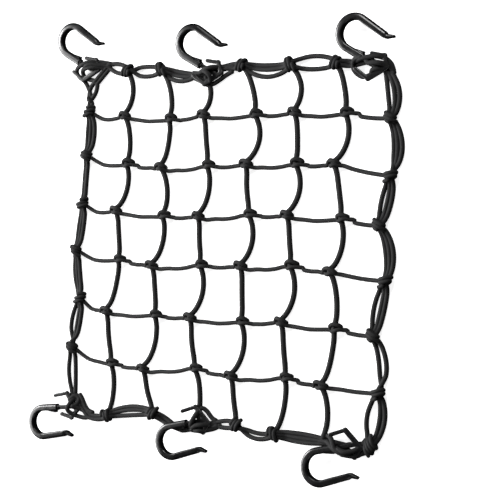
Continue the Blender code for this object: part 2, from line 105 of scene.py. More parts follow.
# The rows of knots: height at the left and right, how far the row has slid right at either end, and how
# far its knots stand left and right of the even grid in turn.
ROW_COLUMNS = ("y_left", "y_right", "shift_left", "shift_right", "zigzag")
ROWS = (
    (135.0, 139.5, 2.6, 2.6, 4.6),
    (81.5, 87.5, 1.5, 1.5, 4.5),
    (27.5, 33.3, -1.5, 1.8, 5.1),
    (-28.5, -20.5, -2.5, 0.7, 4.1),
    (-85.5, -77.5, -7.8, 1.5, 5.5),
    (-141.0, -134.0, -8.3, 0.8, 5.3),
)
LONG_TURN_AFTER_COMPACT = 3.0
LONG_TURN_AFTER_WIDE = 0.8
LONG_STEPS = 9
# The net is tied by hand, so each knot lies a little off the even grid: (right, up) by row and column.
KNOT_OFFSETS = (
    ((0.5, 0.5), (-0.5, -4.5), (-2.5, 0.0), (0.0, -1.5), (1.5, 0.5), (-2.0, -2.0)),
    ((0.0, 0.0), (0.0, -3.5), (-1.0, -2.0), (1.5, 0.0), (-1.0, -0.5), (-3.0, -0.5)),
    ((-0.5, 2.5), (0.0, -2.5), (1.0, -1.5), (0.5, 1.0), (1.0, 1.5), (-0.5, -1.5)),
    ((0.0, 3.5), (-2.5, -1.0), (-0.5, 1.0), (3.0, 2.0), (1.0, 3.5), (-0.5, -1.0)),
    ((-0.5, 3.0), (1.0, 1.5), (1.5, 1.5), (0.5, 0.0), (2.5, 3.0), (-1.5, -1.0)),
    ((1.0, 0.0), (-1.5, -2.0), (2.0, 3.0), (1.5, -1.0), (2.0, 2.0), (-2.5, -2.5)),
)
WIDE_KNOT_SET = 3.5
COMPACT_KNOT_SET = 2.6
KNOT_LIFT = 2.6
KNOT_LIFT_REACH = 7.0
RING_STEP = 1.42

# The border, clockwise: what is at each place, and how far the strands of the stretch that follows
# stand off the straight line to the next place, outwards positive.  None means no middle strand there.
BORDER_COLUMNS = ("place", "x", "y", "kind", "outer", "middle", "inner")
BORDER = (
    ("hook_1_right", -160.0, 190.5, "run", 4.5, None, -5.5),
    ("top_1", -132.0, 184.5, "knot", 3.8, None, -7.0),
    ("top_2", -86.0, 185.0, "knot", 1.0, -3.5, -9.0),
    ("hook_2_left", -44.0, 177.5, "plate", 0.0, None, 0.0),
    ("hook_2_right", -2.0, 186.0, "run", 2.5, None, -2.5),
    ("top_4", 18.0, 187.5, "knot", -0.5, -5.0, -12.5),
    ("top_5", 77.0, 187.0, "knot", 7.7, None, -5.7),
    ("top_6", 130.0, 187.5, "knot", 2.0, None, -2.5),
    ("hook_3_left", 150.0, 186.0, "plate", 0.0, None, 0.0),
    ("hook_3_middle", 164.0, 189.0, "plate", 0.0, None, 0.0),
    ("hook_3_right", 186.0, 179.0, "run", 10.5, 5.0, -2.0),
    ("right_1", 194.0, 131.5, "knot", 11.0, 6.0, 1.8),
    ("right_2", 197.0, 75.0, "knot", 5.5, 1.0, -5.5),
    ("right_3", 188.0, 26.0, "knot", 10.5, 6.0, 2.0),
    ("right_4", 197.5, -28.0, "knot", 4.0, 0.0, -7.5),
    ("right_5", 188.0, -83.0, "knot", 10.0, None, 2.0),
    ("right_6", 196.5, -138.5, "knot", 9.5, 4.0, -10.0),
    ("corner", 191.5, -190.0, "ball", 8.0, None, -2.0),
    ("hook_6_right", 163.0, -195.0, "plate", 0.0, None, 0.0),
    ("hook_6_left", 140.0, -193.0, "run", 4.5, 0.5, -4.0),
    ("bottom_5", 80.0, -193.0, "knot", 10.0, None, 4.0),
    ("bottom_4", 34.0, -189.0, "knot", 4.0, None, -3.6),
    ("hook_5_right", 8.0, -192.0, "plate", 0.0, None, 0.0),
    ("hook_5_middle", -34.6, -202.5, "plate", 0.0, None, 0.0),
    ("hook_5_left", -50.0, -200.0, "run", 2.5, None, -2.5),
    ("bottom_2", -74.0, -190.0, "knot", 1.5, -4.5, -8.3),
    ("bottom_1", -137.0, -200.0, "knot", 4.5, None, 0.5),
    ("hook_4_right", -164.0, -204.0, "plate", 0.0, None, 0.0),
    ("hook_4_left", -188.0, -182.0, "run", 7.5, None, -2.5),
    ("left_6", -192.0, -128.0, "knot", 9.0, 0.5, -3.5),
    ("left_5", -184.0, -72.0, "knot", 7.0, 3.2, -0.5),
    ("left_4", -193.0, -18.0, "knot", 3.5, 0.0, -3.5),
    ("left_3", -187.0, 35.0, "knot", 2.6, None, -1.2),
    ("left_2", -185.0, 90.0, "knot", 3.0, -1.5, -7.0),
    ("left_1", -184.0, 139.0, "knot", 1.6, None, -2.9),
    ("left_0", -186.0, 154.0, "run", 5.0, None, -4.0),
    ("hook_1_left", -178.5, 172.0, "plate", 0.0, None, 0.0),
)
# Ends of long cords that stop beside a hook, not at a tied place of their own: (row, column) -> (x, y).
LONG_CORD_ENDS = {(0, 3): (-27.0, 176.0), (7, 3): (-14.0, -188.0), (7, 6): (138.0, -189.0)}
CURVE_POINTS = 16
CORD_SIDES = 12
DOME_REACH = np.array([[0.7], [0.45]])
DOME_SHOULDER = 0.72
DOME_TIP = 0.02


def named(columns, rows):
    """The rows of a table as dictionaries."""
    return [dict(zip(columns, row)) for row in rows]


spots = named(BORDER_COLUMNS, BORDER)


def is_wide(row, column):
    """Knots are wide and compact in turn, like the squares of a chessboard."""
    return (row + column) % 2 == 0


def knot_places():
    """Every crossing (row, column) -> (x, y): evenly pitched columns, moved by the row's shift and
    zigzag, by the kind of knot and by the knot's own offset."""
    places = {}
    for row, line in enumerate(named(ROW_COLUMNS, ROWS), start=1):
        for column in range(1, CELLS):
            across = (column - 1) / (CELLS - 2)
            shift = line["shift_left"] + (line["shift_right"] - line["shift_left"]) * across
            side = -line["zigzag"] if is_wide(row, column) else line["zigzag"]
            y = line["y_left"] + (line["y_right"] - line["y_left"]) * across
            set_right = WIDE_KNOT_SET if is_wide(row, column) else COMPACT_KNOT_SET
            off = KNOT_OFFSETS[row - 1][column - 1]
            x = (column - CELLS / 2) * PITCH + shift + side + set_right
            places[(row, column)] = (x + off[0], y + off[1])
    at_border = {spot["place"]: (spot["x"], spot["y"]) for spot in spots}
    for i in range(1, CELLS):
        ends = {"top": (0, i), "bottom": (CELLS, i), "left": (i, 0), "right": (i, CELLS)}
        for side, key in ends.items():
            if f"{side}_{i}" in at_border:
                places[key] = at_border[f"{side}_{i}"]
    places.update(LONG_CORD_ENDS)
    return places


PLACES = knot_places()


def unit(vectors):
    """Vectors divided by their lengths."""
    return vectors / np.linalg.norm(vectors, axis=-1, keepdims=True)


def lengths_along(points):
    """The length of a path from its start to each of its points."""
    return np.concatenate([[0.0], np.cumsum(np.linalg.norm(np.diff(points, axis=0), axis=1))])


def even_steps(points, step):
    """A path read off again at even steps of its length, and each new point's share of the length."""
    along = lengths_along(points)
    even = np.linspace(0.0, along[-1], max(3, int(round(along[-1] / step)) + 1))
    return np.column_stack([np.interp(even, along, column) for column in points.T]), even / along[-1]


def smooth(points, step=RING_STEP):
    """A Catmull-Rom curve through points a, b, c, d: half of 2b + (c - a) t + (2a - 5b + 4c - d) t^2
    + (3b - a - 3c + d) t^3 between b and c, read off at even steps."""
    p = np.asarray(points, float)
    p = np.vstack([2 * p[0] - p[1], p, 2 * p[-1] - p[-2]])
    t = np.linspace(0.0, 1.0, CURVE_POINTS, endpoint=False)[None, :, None]
    a, b, c, d = (p[i:len(p) - 3 + i, None, :] for i in range(4))
    curve = 0.5 * (2 * b + (c - a) * t + (2 * a - 5 * b + 4 * c - d) * t**2
                   + (3 * b - a - 3 * c + d) * t**3)
    return even_steps(np.vstack([curve.reshape(-1, 3), p[-2]]), step)[0]


def ring_quads(rings, sides):
    """The corners of each quad between two rings i and i + 1 of points j round them, as point numbers:
    (i, j), (i, j + 1), (i + 1, j + 1), (i + 1, j)."""
    i, j = np.meshgrid(np.arange(rings - 1), np.arange(sides), indexing="ij")
    k = (j + 1) % sides
    corners = [i * sides + j, i * sides + k, (i + 1) * sides + k, (i + 1) * sides + j]
    return np.stack(corners, axis=-1).reshape(-1, 4)


def tube(path, radius, across, phase=0.0):
    """A round tube on a path: at each ring, centre + r (cos a * side + sin a * over), where side is
    across x tangent; both ends close in a low dome.  U runs round it and V along it, in girths."""
    radius = np.broadcast_to(radius, len(path)).astype(float)
    tangent = unit(np.gradient(path, axis=0))
    side = unit(np.cross(np.broadcast_to(across, path.shape), tangent))
    over = np.cross(tangent, side)
    first_dome = path[0] - tangent[0] * radius[0] * DOME_REACH
    last_dome = path[-1] + tangent[-1] * radius[-1] * DOME_REACH[::-1]
    path = np.vstack([first_dome, path, last_dome])
    shoulders = radius[[0, -1]] * DOME_SHOULDER
    radius = np.concatenate([[DOME_TIP, shoulders[0]], radius, [shoulders[1], DOME_TIP]])
    side, over = (np.pad(axis, ((2, 2), (0, 0)), mode="edge") for axis in (side, over))
    angle = np.arange(CORD_SIDES)[None, :, None] * 2 * np.pi / CORD_SIDES
    ring = np.cos(angle) * side[:, None, :] + np.sin(angle) * over[:, None, :]
    points = (path[:, None, :] + radius[:, None, None] * ring).reshape(-1, 3)
    girths = lengths_along(path) / (2 * np.pi * np.median(radius)) + phase
    quads = ring_quads(len(path), CORD_SIDES)
    u = (quads[:, :1] % CORD_SIDES + np.array([0, 1, 1, 0])) / CORD_SIDES
    uv = np.stack([u, girths[quads // CORD_SIDES]], axis=-1).reshape(-1, 2)
    first_ring = np.arange(CORD_SIDES)
    ends = np.array([first_ring[::-1], len(points) - CORD_SIDES + first_ring])
    return points, quads, uv, ends


def tubes_mesh(name, tubes, material):
    """Join tubes into one mesh object, in metres in the frame, its place in its vertices."""
    starts = np.cumsum([0] + [len(piece[0]) for piece in tubes[:-1]])
    points = np.vstack([piece[0] for piece in tubes])
    quads = np.vstack([piece[1] + start for piece, start in zip(tubes, starts)])
    uvs = np.vstack([piece[2] for piece in tubes])
    ends = np.vstack([piece[3] + start for piece, start in zip(tubes, starts)])
    mesh = bpy.data.meshes.new(name)
    mesh.vertices.add(len(points))
    mesh.vertices.foreach_set("co", ((points + NET_MIDDLE) * MM).astype(np.float32).ravel())
    mesh.loops.add(quads.size + ends.size)
    corners = np.concatenate([quads.ravel(), ends.ravel()])
    mesh.loops.foreach_set("vertex_index", corners.astype(np.int32))
    mesh.polygons.add(len(quads) + len(ends))
    end_starts = quads.size + np.arange(len(ends)) * CORD_SIDES
    loop_starts = np.concatenate([np.arange(len(quads)) * 4, end_starts])
    mesh.polygons.foreach_set("loop_start", loop_starts.astype(np.int32))
    layer = mesh.uv_layers.new(name="cord")
    layer.data.foreach_set("uv", np.vstack([uvs, np.zeros((ends.size, 2))]).astype(np.float32).ravel())
    mesh.update(calc_edges=True)
    mesh.validate()
    mesh.polygons.foreach_set("use_smooth", np.ones(len(mesh.polygons), bool))
    mesh.materials.append(material)
    made = put_in_scene(name, mesh)
    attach(made, "root")
    return made


def new_material(name):
    """A material with its node tree and its shader."""
    made = bpy.data.materials.new(name)
    made.use_nodes = True
    return made, made.node_tree, made.node_tree.nodes["Principled BSDF"]


def node(tree, kind, inputs=(), **settings):
    """Add a shader node, set its properties, and fill its inputs with values or with other sockets."""
    made = tree.nodes.new(kind)
    for key, value in settings.items():
        setattr(made, key, value)
    for key, value in dict(inputs).items():
        if isinstance(value, bpy.types.NodeSocket):
            tree.links.new(value, made.inputs[key])
        else:
            made.inputs[key].default_value = value
    return made


def maths(tree, operation, a, b=0.0):
    """One sum on one or two numbers."""
    return node(tree, "ShaderNodeMath", {0: a, 1: b}, operation=operation).outputs[0]


def ramp(tree, value, low, high, at_low, at_high):
    """A number that runs from at_low to at_high while value runs from low to high."""
    inputs = {0: value, 1: low, 2: high, 3: at_low, 4: at_high}
    return node(tree, "ShaderNodeMapRange", inputs).outputs[0]


def mix_colours(tree, share, first, second, blend_type="MIX"):
    """A share of the second colour over the first."""
    inputs = {0: share, 6: first, 7: second}
    return node(tree, "ShaderNodeMix", inputs, data_type="RGBA", blend_type=blend_type).outputs[2]


def noise(tree, where, scale, detail):
    """Cloudy noise of so many features a metre."""
    inputs = {"Vector": where, "Scale": scale, "Detail": detail}
    return node(tree, "ShaderNodeTexNoise", inputs).outputs["Fac"]


def dress_shader(tree, shader, colour, roughness, height, strength, depth):
    """Join a colour, a roughness and a bump of a depth in metres to the shader."""
    bump = node(tree, "ShaderNodeBump", {"Height": height, "Strength": strength, "Distance": depth})
    tree.links.new(colour, shader.inputs["Base Color"])
    tree.links.new(roughness, shader.inputs["Roughness"])
    tree.links.new(bump.outputs["Normal"], shader.inputs["Normal"])


CORD_COLOUR = (0.021, 0.021, 0.0215, 1.0)
CORD_WORN_COLOUR = (0.068, 0.068, 0.069, 1.0)
BRAID_STRANDS = 16
BRAID_LAY = 15.0
BRAID_BUMP = 0.00015
FILAMENTS = 5.0
FILAMENT_HEIGHT = 0.22
# Painted sheen: how much lighter the colour is made along the filaments.
FILAMENT_SHEEN = 0.12


def braided_cord(name):
    """Polyester braid: two families of yarns wind left and right round the cord; where they cross they
    make domed cells, sin a * sin b, with fine filaments along the yarn that is on top."""
    made, tree, shader = new_material(name)
    place = node(tree, "ShaderNodeUVMap", uv_map="cord").outputs["UV"]
    parts = node(tree, "ShaderNodeSeparateXYZ", {"Vector": place})
    around = maths(tree, "MULTIPLY", parts.outputs["X"], math.pi * BRAID_STRANDS)
    along = maths(tree, "MULTIPLY", parts.outputs["Y"], math.pi * BRAID_LAY)
    winding = [maths(tree, "ADD", around, along), maths(tree, "SUBTRACT", around, along)]
    cell = maths(tree, "MULTIPLY", *(maths(tree, "SINE", yarn) for yarn in winding))
    dome = maths(tree, "POWER", maths(tree, "ABSOLUTE", cell), 0.6)
    fine_left, fine_right = (
        maths(tree, "ABSOLUTE", maths(tree, "SINE", maths(tree, "MULTIPLY", yarn, FILAMENTS)))
        for yarn in winding
    )
    on_top = maths(tree, "GREATER_THAN", cell, 0.0)
    fine = node(tree, "ShaderNodeMix", {0: on_top, 2: fine_left, 3: fine_right}).outputs[0]
    height = maths(tree, "ADD", dome, maths(tree, "MULTIPLY", fine, FILAMENT_HEIGHT))
    wear = noise(tree, node(tree, "ShaderNodeTexCoord").outputs["Object"], 55.0, 5.0)
    worn = ramp(tree, wear, 0.62, 0.78, 0.0, 0.35)
    # Lighter colour from real worn patches, plus a painted sheen along the filaments of the yarn on top.
    wear_and_painted_sheen = maths(tree, "ADD", worn, maths(tree, "MULTIPLY", fine, FILAMENT_SHEEN))
    colour = mix_colours(tree, wear_and_painted_sheen, CORD_COLOUR, CORD_WORN_COLOUR)
    # Painted shade: the colour is darkened in the low grooves between the braid's domed cells.
    painted_groove_shade = ramp(tree, dome, 0.0, 0.5, 0.55, 1.0)
    shade = mix_colours(tree, 1.0, colour, painted_groove_shade, "MULTIPLY")
    roughness = ramp(tree, wear, 0.3, 0.7, 0.62, 0.80)
    shader.inputs["Specular IOR Level"].default_value = 0.15
    dress_shader(tree, shader, shade, roughness, height, 0.5, BRAID_BUMP)
    return made


cord_material = braided_cord("black_braided_cord")
UPWARD = np.array([0.0, 0.0, 1.0])
ALONG_Y = np.array([0.0, 1.0, 0.0])


def near_knots(points, centres, most, reach):
    """Most * exp(-(distance / reach)^2) from the nearest of the knots' centres, seen from above."""
    gap = np.linalg.norm(points[:, None, :2] - np.asarray(centres)[None, :, :], axis=2)
    return (most * np.exp(-((gap / reach) ** 2))).max(axis=1)


def laid_path(points, radius):
    """A smooth path whose middle stays at least the cord's radius above the floor."""
    path = smooth(points)
    path[:, 2] = np.maximum(path[:, 2], radius)
    return path


def laid_cord(points, radius, phase):
    """A tube of one thickness on a laid path."""
    return tube(laid_path(points, radius), radius, UPWARD, phase=phase)


def long_cord_points(column):
    """Between knots x = x0 + (x1 - x0) u^turn + bow sin(pi u), through its middle: the cord leaves a
    compact knot bowing to the right and turns back late, and leaves a wide knot nearly straight."""
    points = []
    u = np.arange(LONG_STEPS) / LONG_STEPS
    for row in range(CELLS):
        (x0, y0), (x1, y1) = PLACES[(row, column)], PLACES[(row + 1, column)]
        turn = LONG_TURN_AFTER_WIDE if is_wide(row, column) else LONG_TURN_AFTER_COMPACT
        bow = LONG_MIDDLES[row][column - 1] - (x0 + (x1 - x0) * 0.5**turn)
        x = x0 + (x1 - x0) * u**turn + bow * np.sin(np.pi * u)
        points.append(np.column_stack([x, y0 + (y1 - y0) * u]))
    points = np.vstack([*points, [PLACES[(CELLS, column)]]])
    centres = [PLACES[(row, column)] for row in range(CELLS + 1)]
    height = LONG_CORD_RADIUS + near_knots(points, centres, KNOT_LIFT, KNOT_LIFT_REACH)
    return np.column_stack([points, height])


running_cords = [laid_cord(long_cord_points(column), LONG_CORD_RADIUS, 0.3 * column)
                 for column in range(1, CELLS)]

# ---------------------------------------------------------------- cross cords and their knots
# Six runs of thinner cord from the left border to the right one.  At each crossing the cross cord is
# wound round the long cord and pulled tight, which thins it; wide and compact knots take turns.
CROSS_SAG_AFTER_WIDE = 5.0
CROSS_SAG_AFTER_COMPACT = 3.4
CROSS_SAG_AT_LEFT = 7.0
CROSS_SAG_AT_RIGHT = 2.2
SAG_STATIONS = (0.32, 0.5, 0.68)
SAG_SKEW = 0.85
KNOT_CORD_RADIUS = 2.1
KNOT_PULL = 1.3
KNOT_PULL_REACH = 7.5
KNOT_SIZES = (0.92, 1.06)
KNOT_SHAKE = 0.25
LAST_KNOT_EXIT = 0.6
# The cord's way through each kind of knot: right and up from its middle, and height.
WIDE_KNOT = (
    (-8.9, -2.6, 2.8),
    (-7.6, 0.2, 4.6),
    (-5.4, 2.2, 6.2),
    (-1.4, 2.4, 7.8),
    (2.6, 1.6, 8.0),
    (5.6, 0.2, 6.2),
    (6.0, -1.6, 3.8),
    (3.0, -1.5, 2.0),
    (-2.4, -0.2, 2.0),
    (-5.2, -1.6, 3.0),
    (-4.6, -3.4, 4.6),
    (-1.6, -3.4, 6.8),
    (1.8, -3.4, 7.4),
    (6.2, -4.3, 4.4),
    (10.4, -4.8, 2.5),
)
COMPACT_KNOT = (
    (-10.0, -2.2, 2.2),
    (-3.6, -1.8, 2.2),
    (3.6, 1.2, 2.4),
    (7.4, 1.6, 4.4),
    (5.0, 3.2, 7.0),
    (0.4, 3.9, 8.6),
    (-3.6, 2.2, 7.0),
    (-4.9, 0.2, 5.0),
    (-4.0, -2.6, 4.4),
    (-1.0, -2.8, 6.6),
    (2.4, -1.7, 7.4),
    (6.0, -1.3, 6.0),
    (9.4, -1.5, 4.0),
    (13.6, -2.0, 2.2),
)
rng = np.random.default_rng(11)


def cross_cord_path(row):
    """Sagging spans, y lowered by sag sin(pi u^skew), joined to each knot's own turns, which vary a
    little in size and place."""
    points = [(*PLACES[(row, 0)], CROSS_CORD_RADIUS + KNOT_LIFT)]
    for column in range(CELLS):
        (x0, y0), (x1, y1) = PLACES[(row, column)], PLACES[(row, column + 1)]
        if column == 0:
            sag = CROSS_SAG_AT_LEFT
        elif column == CELLS - 1:
            sag = CROSS_SAG_AT_RIGHT
        else:
            sag = CROSS_SAG_AFTER_WIDE if is_wide(row, column) else CROSS_SAG_AFTER_COMPACT
        for u in SAG_STATIONS:
            drop = sag * math.sin(math.pi * u**SAG_SKEW)
            points.append((x0 + (x1 - x0) * u, y0 + (y1 - y0) * u - drop, CROSS_CORD_RADIUS))
        if column + 1 < CELLS:
            turns = np.array(WIDE_KNOT if is_wide(row, column + 1) else COMPACT_KNOT)
            turns[1:-2, :2] *= rng.uniform(*KNOT_SIZES)
            turns[2:-2] += rng.normal(0.0, KNOT_SHAKE, turns[2:-2].shape)
            if column + 1 == CELLS - 1:
                turns[-3:, 1] *= LAST_KNOT_EXIT
            points.extend(map(tuple, turns + [x1, y1, 0.0]))
    points.append((*PLACES[(row, CELLS)], CROSS_CORD_RADIUS + KNOT_LIFT))
    return laid_path(points, CROSS_CORD_RADIUS)


for row in range(1, CELLS):
    path = cross_cord_path(row)
    knots = [PLACES[(row, column)] for column in range(1, CELLS)]
    pulled = np.minimum(near_knots(path, knots, KNOT_PULL, KNOT_PULL_REACH), 1.0)
    radius = CROSS_CORD_RADIUS + (KNOT_CORD_RADIUS - CROSS_CORD_RADIUS) * pulled
    running_cords.append(tube(path, radius, ALONG_Y, phase=0.37 * row))

# ---------------------------------------------------------------- border strands
# The border is two or three strands of 5 mm braided cord side by side, slack between the knots, and it
# runs below the hooks' base plates.
STRAND_RADIUS = 2.5
END_GAP = {"outer": 1.7, "middle": 0.0, "inner": -1.7}
END_STACK = {"outer": 1.6, "middle": 0.8, "inner": 0.0}
STRAND_STATIONS = np.array([[0.0, 0.1, 0.2, 0.3, 0.4, 0.5, 0.6, 0.7, 0.8, 0.9, 1.0]]).T
# The outer and inner strands change places along these stretches: how far along, by first place.
STRAND_CROSSINGS = {
    "top_1": 0.12, "right_1": 0.9, "right_5": 0.86, "bottom_5": 0.88, "left_6": 0.12, "left_1": 0.85,
}
CROSSING_REACH = 0.12
CROSSING_LIFT = 0.8
EDGE_KNOT_RISE = 3.2
stretches = list(zip(spots, spots[1:] + spots[:1]))
tied = [(spot["x"], spot["y"]) for spot in spots if spot["kind"] in ("knot", "ball")]


def strand_offset(spot, strand):
    """A strand's offset outwards along the stretch after a spot: gap + (bow - gap) sin(pi u)^0.8."""
    wave = np.abs(np.sin(np.pi * STRAND_STATIONS)) ** 0.8
    bow = END_GAP[strand] if spot["kind"] == "plate" else spot[strand]
    return END_GAP[strand] * (1 - wave) + bow * wave


def stretch_points(spot, following, strand, side=1.0):
    """Along the stretch at the strand's offset, on the floor between knots.  A pair that crosses turns
    over on its own middle line, side * tanh((crossing - u) / reach), its outer strand on top."""
    start = np.array([spot["x"], spot["y"]])
    run = np.array([following["x"], following["y"]]) - start
    along = unit(run)
    outward = np.array([-along[1], along[0]])
    lift = np.zeros(len(STRAND_STATIONS))
    if strand == "middle":
        offset = strand_offset(spot, strand)
    else:
        turned = np.full_like(STRAND_STATIONS, side)
        if spot["place"] in STRAND_CROSSINGS:
            to_crossing = STRAND_CROSSINGS[spot["place"]] - STRAND_STATIONS
            turned = side * np.tanh(to_crossing / CROSSING_REACH)
        outer, inner = strand_offset(spot, "outer"), strand_offset(spot, "inner")
        from_middle = (outer - inner) / 2 * turned
        offset = (outer + inner) / 2 + (from_middle if strand == "outer" else -from_middle)
        if strand == "outer":
            apart = np.minimum(2 * np.abs(from_middle[:, 0]), 2 * STRAND_RADIUS)
            lift = (2 * STRAND_RADIUS - apart) * CROSSING_LIFT
    points = start + run * STRAND_STATIONS + outward * offset
    rise = near_knots(points, tied, EDGE_KNOT_RISE + END_STACK[strand], KNOT_LIFT_REACH)
    return np.column_stack([points, STRAND_RADIUS + np.maximum(rise, lift)])


for strand in ("outer", "inner"):
    whole, side = [], 1.0
    for spot, following in stretches:
        whole.append(stretch_points(spot, following, strand, side)[:-1])
        if spot["place"] in STRAND_CROSSINGS:
            side = -side
    running_cords.append(laid_cord(np.vstack([*whole, whole[0][:2]]), STRAND_RADIUS, 0.6))
for spot, following in stretches:
    if spot["middle"] is not None:
        running_cords.append(laid_cord(stretch_points(spot, following, "middle"), STRAND_RADIUS, 0.1))

# ---------------------------------------------------------------- tied-in cord ends
# Each long or cross cord ends in two turns pulled tight round the border's strands.  At one corner the
# border cord's own end is wound into a ball of three turns and a half.
TURN_HALF_WIDTH = 5.3
TURN_HALF_HEIGHT = 4.1
TURN_MIDDLE = 6.2
TURN_PITCH = 3.7
TURN_TILT = 0.42
TURN_WIDTH_SHAKE = (-0.4, 0.5)
TURN_TILT_SHAKE = (-0.12, 0.12)
TURN_SWELL = 0.17
TURN_SWELL_RATE = 1.4
TURN_STATIONS = 26
TURN_STEP = 1.0
EDGE_TURNS = {"knot": 2.25, "ball": 3.4}
edge_turns = []


def edge_turn_points(spot, along, half_width, tilt):
    """A helix of flattened, slanting turns round the border: across = -w cos f with a slow swell,
    height = c + h sin f, and along the border = pitch (f / (2 pi) - turns / 2) + tilt * across."""
    turns = EDGE_TURNS[spot["kind"]]
    outward = np.array([-along[1], along[0]])
    f = np.linspace(0.0, 2 * np.pi * turns, int(TURN_STATIONS * turns))
    swell = 1.0 + TURN_SWELL * np.sin(TURN_SWELL_RATE * f + spot["x"])
    across = -half_width * np.cos(f) * swell
    run = (f / (2 * np.pi) - turns / 2) * TURN_PITCH + tilt * across
    points = np.array([spot["x"], spot["y"]]) + outward * across[:, None] + along * run[:, None]
    return np.column_stack([points, TURN_MIDDLE + TURN_HALF_HEIGHT * np.sin(f)])


for index, spot in enumerate(spots):
    if spot["kind"] in EDGE_TURNS:
        following, previous = spots[(index + 1) % len(spots)], spots[index - 1]
        along = unit(np.array([following["x"] - previous["x"], following["y"] - previous["y"]]))
        half_width = TURN_HALF_WIDTH + rng.uniform(*TURN_WIDTH_SHAKE)
        tilt = (TURN_TILT if index % 2 else -TURN_TILT) + rng.uniform(*TURN_TILT_SHAKE)
        path = smooth(edge_turn_points(spot, along, half_width, tilt), TURN_STEP)
        edge_turns.append(tube(path, KNOT_CORD_RADIUS, [*along, 0.0], phase=rng.uniform(0, 1)))

# ---------------------------------------------------------------- cord at the hooks' plates
# A bight of the border cord holds each plate: under its back arm, up through the window, over the stem
# and down again under the front arm.
PLATE_THICKNESS = 3.2
PLATE_FOOT = 6.7
STRAND_CLEARANCE = 0.3
OVER_STEM = PLATE_THICKNESS / 2 + STRAND_RADIUS + STRAND_CLEARANCE
BEND_RADIUS = 16.0
FAR_CORNER = (48.5, 4.5)
HOOK_COLUMNS = ("name", "x", "y", "heading", "turned_over", "lift_angle")
HOOKS = (
    ("hook_1", -210.4, 219.4, -28.4, False, 3.0),
    ("hook_2", -45.0, 212.2, -27.3, False, 3.0),
    ("hook_3", 151.0, 215.4, -29.0, False, 4.0),
    ("hook_4", -225.5, -218.3, 8.9, True, 2.5),
    ("hook_5", -43.2, -216.3, 15.7, True, 4.5),
    ("hook_6", 137.9, -218.4, 16.6, True, 4.0),
)
